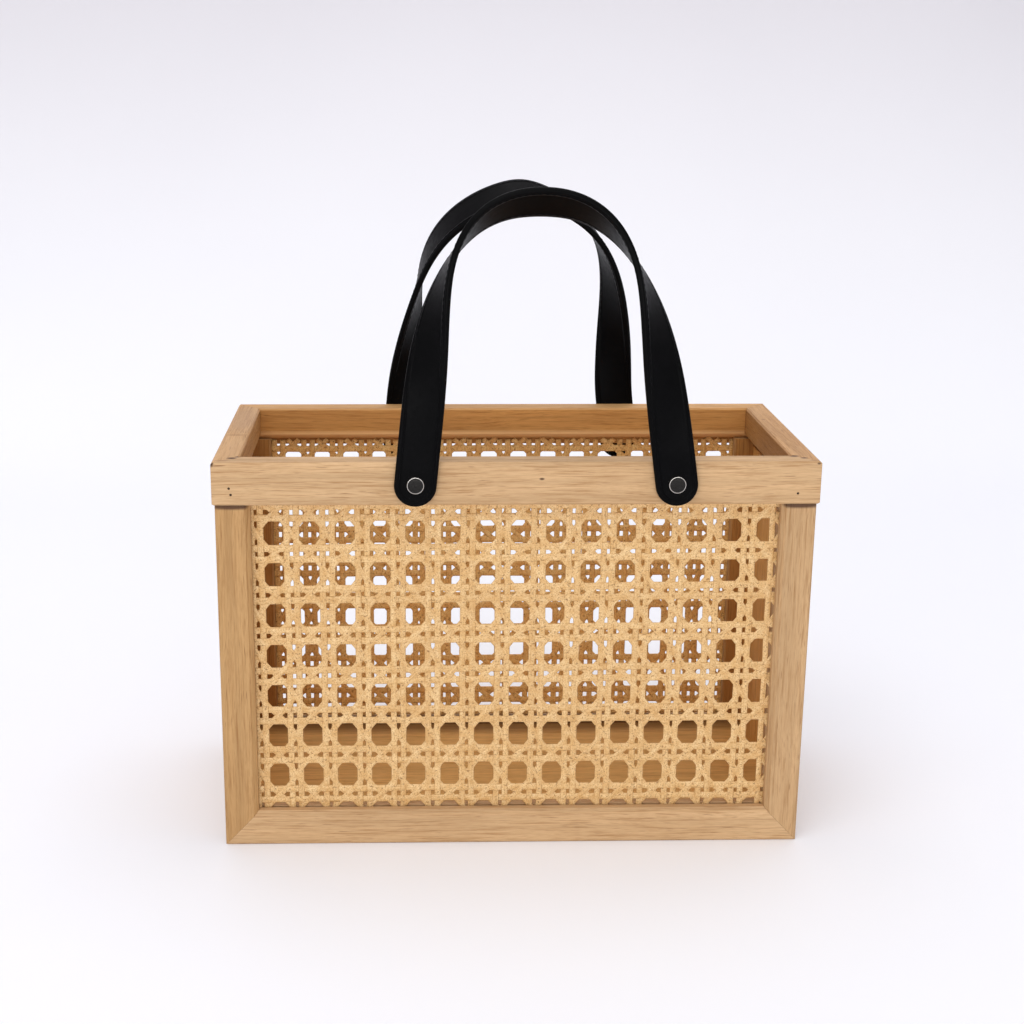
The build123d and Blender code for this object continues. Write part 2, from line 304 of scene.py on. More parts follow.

# Each wooden node's grain axis, colour, seed, marks (centre, size, strength, colour) and tints of sides,
# which are painted shade
WOODS = {
    "rim_front_rail": ("x", (195, 160, 118), 1, (
        ((11.2, FRONT_FACE, 183.6), (1.5, 2, 0.7), 0.9, DARK_MARK),
        ((138.6, FRONT_FACE, 190.6), (1.1, 2, 0.6), 0.8, DARK_MARK),
        *MITRE_GAPS,
    ), ()),
    "rim_back_rail": ("x", (196, 152, 100), 2, (
        ((0, 50.5, 176.9), (300, 2.6, 3.4), 0.75, (240, 192, 132)),
    ), (INNER_BACK_SHADE,)),
    "rim_left_rail": ("y", (193, 153, 107), 3, (
        ((-134.0, -8.0, 191.5), (6.5, 1.2, 1.5), 0.75, SOFT_MARK),
        ((-134.0, 27.0, 191.5), (12.0, 36.0, 3.0), 0.5, (172, 136, 104)),
        ((-134.0, -36.0, 191.5), (12.0, 30.0, 3.0), 0.5, (206, 164, 118)),
        *MITRE_GAPS,
    ), (INNER_LEFT_SHADE,)),
    "rim_right_rail": ("y", (192, 150, 104), 4, (
        ((131.5, 24.0, 191.5), (1.2, 1.5, 1.2), 0.8, SOFT_MARK),
        *MITRE_GAPS,
    ), (INNER_RIGHT_SHADE,)),
    # Dark strips across the stiles' tops: painted shadow under the rim's overhang
    "front_left_stile": ("z", (180, 141, 92), 5, (
        ((-131.0, -61.75, 170.6), (16, 2.4, 1.9), 0.9, DARK_MARK),
    ), ()),
    "front_right_stile": ("z", (187, 152, 110), 6, (
        ((131.0, -61.75, 170.6), (16, 2.4, 1.9), 0.9, DARK_MARK),
    ), ()),
    "front_bottom_rail": ("x", (193, 158, 116), 7, (), ()),
    "back_left_stile": ("z", (180, 141, 92), 8, (), (INNER_BACK_SHADE,)),
    "back_right_stile": ("z", (180, 141, 92), 9, (), (INNER_BACK_SHADE,)),
    # Dark band high on the inner face: painted shade where the bottom meets the back; the outer face's tint
    # is painted cool shade
    "back_bottom_rail": ("x", (216, 174, 112), 10, (
        ((0, 50.2, 15.4), (260, 6.5, 5), 0.9, (96, 62, 28)),
    ), (((0.0, 1.0, 0.0), (224, 223, 241)),)),
    # Side boards: inner faces tinted warmer and outer faces cooler, as painted shade
    "left_side_board": ("z", (205, 158, 98), 11, (), (((1.0, 0.0, 0.0), (255, 252, 226)), OUTER_LEFT_SHADE)),
    "right_side_board": ("z", (205, 158, 98), 12, (), (((-1.0, 0.0, 0.0), (255, 252, 226)), OUTER_RIGHT_SHADE)),
    # Dark band at the back of the board: painted shade in the corner; the underside's tint is painted shade
    "bottom_board": ("x", (216, 170, 100), 13, (
        ((0, 50.5, 13.0), (260, 16, 3), 0.75, (112, 74, 34)),
    ), (((0.0, 0.0, -1.0), (222, 219, 240)),)),
}


def paint_wood():
    for node, (grain, base, seed, marks, sides) in WOODS.items():
        material = wood("oak_" + node, grain, base, seed, marks, sides)
        repaint(node, material)


def repaint(node, material):
    """Puts one material on a CAD node."""
    slots = bpy.data.objects[node].data.materials
    slots.clear()
    slots.append(material)


# ---------------------------------------------------------------- woven cane


@dataclass
class Weave:
    """One cane panel: side is -1 in front and 1 behind, and a hole's centre fixes the even weave in x and z.

    row_pulls and column_pulls move the strand pairs off the even weave, and moved puts single uprights
    somewhere else. gain brightens the cane's colours, on the back panel as painted light on its shaded inner
    side, and outside tints its outward side with painted cool shade.
    """

    name: str
    side: int
    pitch_x: float
    pitch_z: float
    hole_x: float
    hole_z: float
    seed: int
    gain: tuple
    row_pulls: tuple
    column_pulls: tuple = ()
    moved: tuple = ()
    outside: tuple = ()

    def __post_init__(self):
        self.cross_x = self.hole_x + self.pitch_x / 2
        self.cross_z = self.hole_z + self.pitch_z / 2
        self.chance = random.Random(self.seed)

    def pulled(self, x, z):
        """Where a place on the even weave really lies, as its columns and rows aren't quite even."""
        if self.column_pulls:
            first = -int((PANEL_X + self.cross_x) // self.pitch_x)
            x += between(self.column_pulls, (x - self.cross_x) / self.pitch_x - first)
        if self.row_pulls:
            top = int((PANEL_TOP - self.cross_z) // self.pitch_z)
            place = top - (z - self.cross_z) / self.pitch_z
            share = (x + PANEL_X) / (2 * PANEL_X)
            left = between([pull[0] for pull in self.row_pulls], place)
            right = between([pull[1] for pull in self.row_pulls], place)
            z += left + (right - left) * share
        return x, z


def between(values, place):
    """A value from a list at a place that may fall between two of them."""
    place = min(len(values) - 1.001, max(0.0, place))
    index = int(place)
    return values[index] + (values[index + 1] - values[index]) * (place - index)


# The panels' edges and their middle plane
PANEL_X = 126.4
PANEL_BOTTOM = 13.5
PANEL_TOP = 174.7
PANEL_MIDDLE_Y = 55.5

# Strands of a pair lie this far each side of the pair's middle; RISE is how far they leave the middle plane
UPRIGHT_WIDTH = 3.0
UPRIGHT_APART = 2.2
CROSS_WIDTH = 3.4
CROSS_APART = 2.8
DIAGONAL_WIDTH = 2.7
STRAND_THICK = 0.5
DIAGONAL_THICK = 0.36
WEAVE_RISE = 0.253
DIAGONAL_RISE = 0.09
DIAGONAL_PULL = 0.55
CROSSING_REACH = 2.6

# Routes are laid past the panel's edges by MARGIN, then cut at the edges
MARGIN = 6.0
EDGE_PAIRS = 20.0
STEPS_PER_PITCH = 14
DIAGONAL_STEPS = 1.3
DIAGONALS = 40
SHORTEST_DIAGONAL = 0.15
LEVEL_STEEPNESS = 1.9
UPRIGHT_WANDER = 0.22
CROSS_WANDER = 0.2
DIAGONAL_WANDER = 0.15


def strand(route, width, thick, side):
    """Rings of a flat cane strand along a route of (x, z, level, way across in x, way across in z)."""
    rings = []
    for x, z, level, across_x, across_z in route:
        ring = []
        for a, b in SECTION:
            offset = a * width / 2
            depth = level + b * thick / 2
            ring.append((x + across_x * offset, side * (PANEL_MIDDLE_Y + depth), z + across_z * offset))
        rings.append(ring)
    return rings


# Pull of each crosswise pair of the front panel at its left and right ends (mm), from the top pair down
FRONT_ROW_PULLS = (
    (-1.0, -0.3), (-0.9, 0.25), (-0.9, 0.9), (-1.0, 1.0),
    (-1.0, 0.75), (-0.9, -0.1), (-1.15, -0.75), (-1.5, -0.75),
)

# The same for the back panel, and the pull of each of its upright pairs from the left (mm)
BACK_ROW_PULLS = tuple((pull, pull) for pull in (-0.8, 1.1, 3.1, 1.6, 0.0, -1.1, -1.8, -2.5, -4.0, -5.5))
BACK_COLUMN_PULLS = (
    3.5, 3.8, 3.65, 3.75, 2.5, 1.4, 0.0, 0.15, 0.65, 1.25, 1.85, 1.45, 4.25, 2.25, 0.0, -1.85, -1.45,
)

FRONT_WEAVE = Weave(
    name="front_cane_panel", side=-1, pitch_x=16.45, pitch_z=20.3, hole_x=2.45, hole_z=95.9, seed=3,
    gain=(1.015, 1.015, 0.99), row_pulls=FRONT_ROW_PULLS, moved=((124, 120.4),),
)
# The back panel's gain lifts its colours as painted light on its shaded inner side, and outside is painted
# cool shade on its outward side
BACK_WEAVE = Weave(
    name="back_cane_panel", side=1, pitch_x=15.3, pitch_z=17.5, hole_x=-8.0, hole_z=93.25, seed=8,
    gain=(1.08, 1.045, 0.92), row_pulls=BACK_ROW_PULLS, column_pulls=BACK_COLUMN_PULLS,
    outside=(240, 248, 255),
)

# A strand's lens-shaped section: share of half the width, share of half the thickness
SECTION = (
    (-1.0, -0.25), (-0.72, -0.85), (0.0, -1.0), (0.72, -0.85),
    (1.0, -0.25), (0.8, 0.55), (0.0, 1.0), (-0.8, 0.55),
)


def plain_level(position, crossings, start_sign):
    """Level of a strand that goes over and under the crossing strands in turn."""
    level = 0.0
    sign = start_sign
    for crossing in crossings:
        distance = abs(position - crossing) / CROSSING_REACH
        if distance < 1:
            level += sign * WEAVE_RISE * cos(pi / 2 * distance) ** 2
        sign = -sign
    return level


def wander(weave, size):
    """A slow sideways drift that makes each strand a little different."""
    phase = weave.chance.uniform(0, 2 * pi)
    length = weave.chance.uniform(45, 90)
    lean = weave.chance.uniform(-1, 1) * size
    return lambda place: size * sin(place / length * 2 * pi + phase) * 0.6 + lean * 0.5


def steps(low, high, pitch):
    """Even places along a strand."""
    count = max(2, round((high - low) / pitch * STEPS_PER_PITCH))
    return [low + (high - low) * step / count for step in range(count + 1)]


def doublets(centre, pitch, low, high):
    """Middles of the strand pairs that fall on the panel."""
    first = int((low - centre) // pitch)
    last = int((high - centre) // pitch) + 1
    return [centre + pitch * number for number in range(first, last + 1)]


def pair_crossings(middles, apart):
    """Places of both strands of each pair."""
    places = []
    for middle in middles:
        places += [middle - apart, middle + apart]
    return places


def build_strands(weave, name, routes, width, thick, material):
    """One object that holds every strand of one direction."""
    points = []
    faces = []
    tints = []
    for route in routes:
        route = [(*weave.pulled(x, z), *rest) for x, z, *rest in route]
        route = [point for point in route if PANEL_BOTTOM <= point[1] <= PANEL_TOP]
        route = [point for point in route if abs(point[0]) <= PANEL_X]
        if len(route) < 3:
            continue
        rings = strand(route, width * weave.chance.uniform(0.95, 1.05), thick, weave.side)
        faces += skin(rings, base=len(points))
        tint = weave.chance.random()
        shift = weave.chance.uniform(0, 1000)
        run = 0.0
        for index, ring in enumerate(rings):
            if index:
                run += hypot(route[index][0] - route[index - 1][0], route[index][1] - route[index - 1][1])
            for (a, _), point in zip(SECTION, ring):
                points.append(point)
                tints.append((tint, (run + shift) * MM, a * width / 2 * MM))
    piece = mesh_object(name, points, faces)
    if weave.side > 0:
        piece.data.flip_normals()
    keep_on_points(piece, "strand", tints)
    piece.data.materials.append(material)
    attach(piece, "root")
    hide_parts(weave.name)
    return piece


def upright_routes(weave):
    """Routes of the uprights, which start over or under in turn."""
    routes = []
    rows = doublets(weave.cross_z, weave.pitch_z, PANEL_BOTTOM - EDGE_PAIRS, PANEL_TOP + EDGE_PAIRS)
    crossings = pair_crossings(rows, CROSS_APART)
    for centre in doublets(weave.cross_x, weave.pitch_x, -PANEL_X, PANEL_X):
        for side in (-1, 1):
            x = centre + side * UPRIGHT_APART
            for near, place in weave.moved:
                if round(x) == near:
                    x = place
            if abs(weave.pulled(x, 0)[0]) > PANEL_X - UPRIGHT_WIDTH / 2:
                continue
            drift = wander(weave, UPRIGHT_WANDER)
            route = []
            for z in steps(PANEL_BOTTOM - MARGIN, PANEL_TOP + MARGIN, weave.pitch_z):
                route.append((x + drift(z), z, plain_level(z, crossings, -side), 1.0, 0.0))
            routes.append(route)
    return routes


def cross_routes(weave):
    """Routes of the crosswise strands, over where the uprights are under."""
    routes = []
    columns = doublets(weave.cross_x, weave.pitch_x, -PANEL_X - EDGE_PAIRS, PANEL_X + EDGE_PAIRS)
    crossings = pair_crossings(columns, UPRIGHT_APART)
    for centre in doublets(weave.cross_z, weave.pitch_z, PANEL_BOTTOM, PANEL_TOP):
        for side in (-1, 1):
            z = centre + side * CROSS_APART
            ends = [weave.pulled(x, z)[1] for x in (-PANEL_X, PANEL_X)]
            if min(ends) < PANEL_BOTTOM + CROSS_WIDTH / 2 or max(ends) > PANEL_TOP - CROSS_WIDTH / 2:
                continue
            drift = wander(weave, CROSS_WANDER)
            route = []
            for x in steps(-PANEL_X - MARGIN, PANEL_X + MARGIN, weave.pitch_x):
                route.append((x, z + drift(x), plain_level(x, crossings, side), 0.0, -1.0))
            routes.append(route)
    return routes


def diagonal_routes(weave, slope):
    """Diagonals with u - slope * v = k + 1/2, over one kind of doublet and under the other."""
    low_u = (-PANEL_X - MARGIN - weave.cross_x) / weave.pitch_x
    high_u = (PANEL_X + MARGIN - weave.cross_x) / weave.pitch_x
    low_v = (PANEL_BOTTOM - MARGIN - weave.cross_z) / weave.pitch_z
    high_v = (PANEL_TOP + MARGIN - weave.cross_z) / weave.pitch_z
    long = hypot(weave.pitch_x, weave.pitch_z)
    across = (weave.pitch_z / long, -slope * weave.pitch_x / long)
    routes = []
    for k in range(-DIAGONALS, DIAGONALS):
        start = max(low_v, min((low_u - k - 0.5) / slope, (high_u - k - 0.5) / slope))
        end = min(high_v, max((low_u - k - 0.5) / slope, (high_u - k - 0.5) / slope))
        if end - start < SHORTEST_DIAGONAL:
            continue
        drift = wander(weave, DIAGONAL_WANDER)
        route = []
        count = max(3, round((end - start) * STEPS_PER_PITCH * DIAGONAL_STEPS))
        for step in range(count + 1):
            v = start + (end - start) * step / count
            u = slope * v + k + 0.5
            x = weave.cross_x + u * weave.pitch_x
            z = weave.cross_z + v * weave.pitch_z
            wave = cos(2 * pi * u) * -slope
            level = DIAGONAL_RISE * max(-1, min(1, wave * LEVEL_STEEPNESS))
            side = drift(z) - DIAGONAL_PULL * sin(2 * pi * u)
            route.append((x + side * across[0], z + side * across[1], level, *across))
        routes.append(route)
    return routes


def cane_tones(gain):
    """Light, middle, dark and brown cane, brightened a little but never past a real surface's white."""
    tones = ((238, 204, 153), (224, 182, 124), (188, 140, 80), (136, 92, 44))
    return [tone(*(min(251, part * share) for part, share in zip(colour, gain))) for colour in tones]


def cane_material(weave):
    """Natural cane: fine lengthwise fibres, small specks and a tint per strand."""
    shader = Shader(weave.name + "_cane")
    seed = weave.seed
    along_strand = shader.attribute("strand", "Vector")
    fibres = shader.noise(shader.stretch((9, 90, 3600), (seed, 0, 0), along_strand), detail=3.0)
    flecks = shader.even_noise(900, (seed, seed, 0), detail=3.0, roughness=0.65)
    grit = shader.even_noise(1600, (0, seed, seed), roughness=0.6)
    patches = shader.even_noise(230, (0, seed, 0), detail=3.0)
    light, middle, dark, brown = cane_tones(weave.gain)
    colour = shader.mix(shader.remap(patches, 0.35, 0.65), light, middle)
    colour = shader.mix(shader.math("MULTIPLY", shader.parts(along_strand)["X"], 0.25), colour, dark)
    colour = shader.mix(shader.remap(fibres, 0.48, 0.72, 0.0, 0.6), colour, dark)
    colour = shader.mix(shader.remap(grit, 0.48, 0.64, 0.0, 0.75), colour, dark)
    colour = shader.mix(shader.remap(flecks, 0.56, 0.68, 0.0, 0.85), colour, brown)
    # Painted cool shade on the panel's outward side
    if weave.outside:
        share = facing(shader, (0.0, weave.side, 0.0), -0.2, 0.3)
        colour = shader.mix(share, colour, tone(*weave.outside), blend="MULTIPLY")
    height = shader.blend(fibres, 0.7, flecks, 0.3)
    shader.set(Base_Color=colour, Normal=shader.bump(height, 0.15 * MM, 0.6))
    shader.set(Roughness=shader.remap(flecks, 0.3, 0.7, 0.42, 0.6))
    return shader.material


def weave_panel(weave):
    """All the strands of one panel, as one object for each direction."""
    material = cane_material(weave)
    sets = (
        ("uprights", upright_routes(weave), UPRIGHT_WIDTH, STRAND_THICK),
        ("crosswise", cross_routes(weave), CROSS_WIDTH, STRAND_THICK),
        ("rising", diagonal_routes(weave, 1), DIAGONAL_WIDTH, DIAGONAL_THICK),
        ("falling", diagonal_routes(weave, -1), DIAGONAL_WIDTH, DIAGONAL_THICK),
    )
    for label, routes, width, thick in sets:
        build_strands(weave, f"{weave.name}_{label}", routes, width, thick, material)


# ---------------------------------------------------------------- handles

# The box's top and how far its front and back rim faces are from the middle
BOX_HEIGHT = 191.5
RIM_FACE = 62.5
STRAP_WIDTH = 19.5  # the CAD's is 19.0; the photo's look wider still
STRAP = 3.0
SEAT_ABOVE_NAIL = 7.0
EDGE_ROUND = 1.1
EDGE_ARC = [pi / 2 * step / 3 for step in range(4)]
FACE_SHARES = (0.78, 0.62, 0.45, 0.22, 0.0, -0.22, -0.45, -0.62, -0.78)
TIP_RINGS = 30
STATIONS = 126
PATH_STEPS = 1200
EASE_PASSES = 6
FLARE_HEIGHT = 30.0

# Stitches: distance from the strap's edge, their size and step, and (place along, share of the thickness)
STITCH_INSET = 2.3
STITCH_LENGTH = 2.3
STITCH_WIDTH = 0.6
STITCH_HEIGHT = 0.48
STITCH_STEP = 3.1
STITCH_SUNK = 0.05
STITCH_DIP = 0.18
STITCH_SHAPE = ((-1.0, 0.35), (-0.72, 0.85), (0.0, 1.0), (0.72, 0.85), (1.0, 0.35))
STITCH_CORNERS = 6
TRACK_STEPS = 400
TIP_TURNS = 40


@dataclass
class Handle:
    """The arch law of one handle, with the same values as the CAD."""

    side: int
    nail_z: float
    end_below_nail: float
    middle_x: float
    half_spacing: float
    rise: float
    shoulder: float
    crown: float
    taper: float
    drift: float
    lean: float
    twist: float
    twist_ease: float
    twist_shift: float
    right_flare: float


FRONT_HANDLE = Handle(
    side=-1, nail_z=181.5, end_below_nail=10.5, middle_x=13.1, half_spacing=59.9, rise=126.7, shoulder=5.7,
    crown=2.3, taper=0.26, drift=-3.2, lean=15.0, twist=132.0, twist_ease=1.72, twist_shift=0.01,
    right_flare=0.0,
)
BACK_HANDLE = Handle(
    side=1, nail_z=177.5, end_below_nail=16.0, middle_x=2.9, half_spacing=56.5, rise=128.0, shoulder=6.4,
    crown=1.37, taper=0.13, drift=4.3, lean=20.0, twist=121.0, twist_ease=1.07, twist_shift=0.21,
    right_flare=2.8,
)


def path_point(handle, turn):
    """Middle of the strap's thickness at 0 over the left nail and 1 over the right nail."""
    half_turn = min(turn, 1 - turn) * 2
    angle = pi / 2 * half_turn**4
    height = handle.rise * sin(angle) ** (2 / handle.shoulder)
    share = height / handle.rise
    reach = handle.half_spacing * (1 - handle.taper * share) * max(0.0, cos(angle)) ** (2 / handle.crown)
    x = handle.middle_x + handle.drift * share
    if turn < 0.5:
        x -= reach
    else:
        x += reach + handle.right_flare * max(0.0, 1 - height / FLARE_HEIGHT) ** 2
    z = handle.nail_z + height
    above_rim = max(0.0, z - BOX_HEIGHT) / (handle.nail_z + handle.rise - BOX_HEIGHT)
    y = handle.side * (RIM_FACE + STRAP / 2 - handle.lean * above_rim**2)
    return Vector((x, y, z))


def eased(places):
    """The same places without a sharp turn, as leather bends softly over the top of the arch."""
    for _ in range(EASE_PASSES):
        middle = [(a + b * 2 + c) / 4 for a, b, c in zip(places, places[1:], places[2:])]
        places = places[:1] + middle + places[-1:]
    return places


def strap_frames(handle):
    """Frames along the arch: arc length, point, direction, outward normal and the way across."""
    points = [path_point(handle, step / PATH_STEPS) for step in range(PATH_STEPS + 1)]
    points = [point for point in points if point.z >= handle.nail_z + SEAT_ABOVE_NAIL]
    lengths = [0.0]
    for before, after in zip(points, points[1:]):
        lengths.append(lengths[-1] + (after - before).length)
    rim_length = next(length for point, length in zip(points, lengths) if point.z >= BOX_HEIGHT)
    free_length = lengths[-1] - 2 * rim_length
    targets = [rim_length + free_length * station / STATIONS for station in range(STATIONS + 1)]
    targets = [0.0] + targets + [lengths[-1]]
    places = []
    index = 0
    for target in targets:
        while index < len(points) - 2 and lengths[index + 1] < target:
            index += 1
        step = points[index + 1] - points[index]
        places.append(points[index] + step * ((target - lengths[index]) / step.length))
    places = eased(places)
    frames = []
    for station, (target, point) in enumerate(zip(targets, places)):
        before = places[max(0, station - 1)]
        after = places[min(len(places) - 1, station + 1)]
        direction = (after - before).normalized()
        share = min(1.0, max(0.0, (target - rim_length) / free_length))
        share += handle.twist_shift * share * (1 - share)
        turn = 1 - abs(2 * share - 1)
        twist = radians(handle.twist) * sin(pi / 2 * max(0.0, turn) ** handle.twist_ease)
        flat = Vector((0, handle.side, 0))
        flat = (flat - direction * flat.dot(direction)).normalized()
        across = direction.cross(flat) * -handle.side
        normal = flat * cos(twist) - across * sin(twist)
        across = across * cos(twist) + flat * sin(twist)
        frames.append((target, point, direction, normal, across))
    return frames


class Strap:
    """A strap's frame at any length along it, with flat ends that run straight down past the nails."""

    def __init__(self, handle):
        self.frames = strap_frames(handle)
        self.below = SEAT_ABOVE_NAIL + handle.end_below_nail
        self.start = -self.below
        self.end = self.frames[-1][0] + self.below

    def at(self, length):
        first = self.frames[0]
        last = self.frames[-1]
        if length <= 0:
            return (first[1] + first[2] * length, first[2], first[3], first[4])
        if length >= last[0]:
            return (last[1] + last[2] * (length - last[0]), last[2], last[3], last[4])
        index = 0
        while self.frames[index + 1][0] < length:
            index += 1
        before = self.frames[index]
        after = self.frames[index + 1]
        share = (length - before[0]) / (after[0] - before[0])
        mixed = [before[k].lerp(after[k], share) for k in (1, 2, 3, 4)]
        return (mixed[0], mixed[1].normalized(), mixed[2].normalized(), mixed[3].normalized())

    def from_tip(self, length):
        return min(length - self.start, self.end - length)

    def half_width(self, length):
        """Half the width: full along the arch and round at the two tips."""
        radius = STRAP_WIDTH / 2
        tip = max(0.0, self.from_tip(length))
        if tip >= radius:
            return radius
        return max(0.02, (radius**2 - (radius - tip) ** 2) ** 0.5)

    def half_thick(self, length):
        tip = max(0.0, self.from_tip(length))
        if tip >= EDGE_ROUND:
            return STRAP / 2
        return STRAP / 2 - EDGE_ROUND + (EDGE_ROUND**2 - (EDGE_ROUND - tip) ** 2) ** 0.5

    def border(self, length, offset):
        """Distance of a place on the strap from its edge."""
        radius = STRAP_WIDTH / 2
        tip = self.from_tip(length)
        if tip < radius:
            return radius - hypot(radius - tip, offset)
        return radius - abs(offset)

    def place(self, length, offset, height):
        point, _, normal, across = self.at(length)
        return point + across * offset + normal * height


def strap_lengths(strap):
    """Where the rings go: close together at the tips, then one at each CAD station."""
    tips = [STRAP_WIDTH / 2 * (1 - cos(pi / 2 * step / (TIP_RINGS - 1))) for step in range(TIP_RINGS)]
    lengths = [strap.start + tip for tip in tips]
    lengths += [strap.end - tip for tip in tips]
    lengths += [frame[0] for frame in strap.frames]
    straight = strap.below - STRAP_WIDTH / 2
    for quarter in range(1, 4):
        inward = STRAP_WIDTH / 2 + straight * quarter / 4
        lengths += [strap.start + inward, strap.end - inward]
    return sorted(set(lengths))


def strap_section(half, thick):
    """The band's outline as (offset, height) pairs, with rounded edges."""
    round_x = min(EDGE_ROUND, half * 0.6)
    round_z = min(EDGE_ROUND, thick * 0.9)
    edge = []
    for angle in EDGE_ARC:
        edge.append((half - round_x + round_x * cos(angle), thick - round_z + round_z * sin(angle)))
    section = edge + [((half - round_x) * share, thick) for share in FACE_SHARES]
    section += [(-x, z) for x, z in reversed(edge)]
    return section + [(x, -z) for x, z in reversed(section)]


def strap_mesh(name, strap):
    """The leather band; each point remembers its distance from the edge and its place on the strap."""
    points = []
    data = []
    rings = []
    for length in strap_lengths(strap):
        ring = []
        for offset, height in strap_section(strap.half_width(length), strap.half_thick(length)):
            ring.append(tuple(strap.place(length, offset, height)))
            data.append((max(0.0, strap.border(length, offset)) * MM, length * MM, offset * MM))
        rings.append(ring)
        points += ring
    piece = mesh_object(name, points, skin(rings))
    keep_on_points(piece, "strap", data)
    return piece


def stitch_route(strap, radius):
    """Places (length, offset) round the whole strap, radius away from its middle line."""
    first = strap.start + STRAP_WIDTH / 2
    last = strap.end - STRAP_WIDTH / 2
    turns = [pi * step / TIP_TURNS for step in range(TIP_TURNS)]
    track = [(first + (last - first) * step / TRACK_STEPS, radius) for step in range(TRACK_STEPS)]
    track += [(last + radius * sin(turn), radius * cos(turn)) for turn in turns]
    track += [(last + (first - last) * step / TRACK_STEPS, -radius) for step in range(TRACK_STEPS)]
    track += [(first - radius * sin(turn), -radius * cos(turn)) for turn in turns]
    return track + track[:1]


def stitch_rings(middle, ahead, outward):
    """Rings of one stitch, thickest in the middle, with its ends pulled into the leather."""
    sideways = ahead.cross(outward).normalized()
    rings = []
    for along, size in STITCH_SHAPE:
        centre = middle + ahead * along * STITCH_LENGTH / 2 - outward * (STITCH_DIP * along * along)
        ring = []
        for corner in range(STITCH_CORNERS):
            angle = 2 * pi * corner / STITCH_CORNERS
            spread = sideways * cos(angle) * STITCH_WIDTH / 2 + outward * sin(angle) * STITCH_HEIGHT / 2
            ring.append(tuple(centre + spread * size))
        rings.append(ring)
    return rings


def stitches(name, strap):
    """Rows of short sewn stitches on both faces of the strap, as one object."""
    track = stitch_route(strap, STRAP_WIDTH / 2 - STITCH_INSET)
    points = []
    faces = []
    for face in (1, -1):
        height = face * (STRAP / 2 - STITCH_SUNK)
        lane = [strap.place(length, offset, height) for length, offset in track]
        normals = [strap.at(length)[2] * face for length, _ in track]
        runs = [0.0]
        for before, after in zip(lane, lane[1:]):
            runs.append(runs[-1] + (after - before).length)
        count = round(runs[-1] / STITCH_STEP)
        index = 0
        for number in range(count):
            start = runs[-1] * number / count
            while runs[index + 1] < start:
                index += 1
            share = (start - runs[index]) / (runs[index + 1] - runs[index])
            middle = lane[index].lerp(lane[index + 1], share)
            ahead = (lane[index + 1] - lane[index]).normalized()
            rings = stitch_rings(middle, ahead, normals[index])
            faces += skin(rings, base=len(points))
            for ring in rings:
                points += ring
    return mesh_object(name, points, faces)


def leather_material(name, seed):
    """Black leather: fine pebbling, a pressed stitch line, and edges with a dull painted finish."""
    shader = Shader(name)
    border = shader.parts(shader.attribute("strap", "Vector"))["X"]
    pebble = shader.node("ShaderNodeTexVoronoi", feature="F1")
    pebble.inputs["Scale"].default_value = 1500
    shader.join(shader.place, pebble.inputs["Vector"])
    grain = shader.even_noise(420, (seed, 0, 0), detail=4.0, roughness=0.6)
    soft = shader.even_noise(60, (0, seed, 0))
    off_line = shader.math("ABSOLUTE", shader.math("SUBTRACT", border, STITCH_INSET * MM))
    groove = shader.remap(off_line, 0.0, 0.75 * MM)
    skin_height = shader.math("ADD", shader.math("MULTIPLY", pebble.outputs["Distance"], 0.5), grain)
    fine = shader.bump(skin_height, 0.10 * MM, 0.45)
    normal = shader.bump(groove, 0.35 * MM, 0.9, fine)
    colour = shader.mix(shader.remap(soft, 0.35, 0.65), tone(3, 3, 4), tone(6, 6, 7))
    colour = shader.mix(shader.remap(border, 0.9 * MM, 0.3 * MM, 0.0, 0.6), colour, tone(8, 8, 8))
    shader.set(Base_Color=colour, Normal=normal)
    shader.set(Roughness=shader.remap(grain, 0.35, 0.65, 0.34, 0.46))
    shader.surface.inputs["Specular IOR Level"].default_value = 0.05
    return shader.material


def thread_material():
    """Waxed black thread with a fine twist."""
    shader = Shader("black_thread")
    twist = shader.even_noise(1900)
    shader.set(Base_Color=shader.mix(twist, tone(3, 3, 4), tone(11, 11, 12)))
    shader.set(Normal=shader.bump(twist, 0.08 * MM, 0.7))
    shader.set(Roughness=shader.remap(twist, 0.3, 0.7, 0.5, 0.7))
    shader.surface.inputs["Specular IOR Level"].default_value = 0.05
    return shader.material


# ---------------------------------------------------------------- nails and pins

# Radius and height over the strap, from the cap's middle to the shank's point; the CAD's cap is 4.0 in radius
CAP_PROFILE = (
    (0.0, 1.86), (1.0, 1.85), (1.9, 1.82), (2.5, 1.77), (3.1, 1.70), (3.4, 1.66), (3.58, 1.68),
    (3.74, 1.72), (3.84, 1.66), (3.92, 1.52), (3.99, 1.25), (4.05, 0.86), (4.1, 0.45), (4.12, 0.12),
    (4.1, 0.0), (3.7, -0.02), (1.2, -0.02), (1.2, -7.0), (1.2, -11.0), (0.0, -13.0),
)
CAP_SIDES = 64

# The painted dark reflection in the cap's middle ends between these two radii
DARK_REFLECTION_INSIDE = 3.5
DARK_REFLECTION_EDGE = 3.74


def turned_faces(last_point):
    """Faces of the turned cap and shank, with one point at each end."""
    rows = len(CAP_PROFILE) - 2
    faces = []
    for side in range(CAP_SIDES):
        after = (side + 1) % CAP_SIDES
        faces.append((0, 1 + side, 1 + after))
        for row in range(rows - 1):
            low = 1 + row * CAP_SIDES
            high = low + CAP_SIDES
            faces.append((low + side, high + side, high + after, low + after))
        base = 1 + (rows - 1) * CAP_SIDES
        faces.append((base + side, last_point, base + after))
    return faces


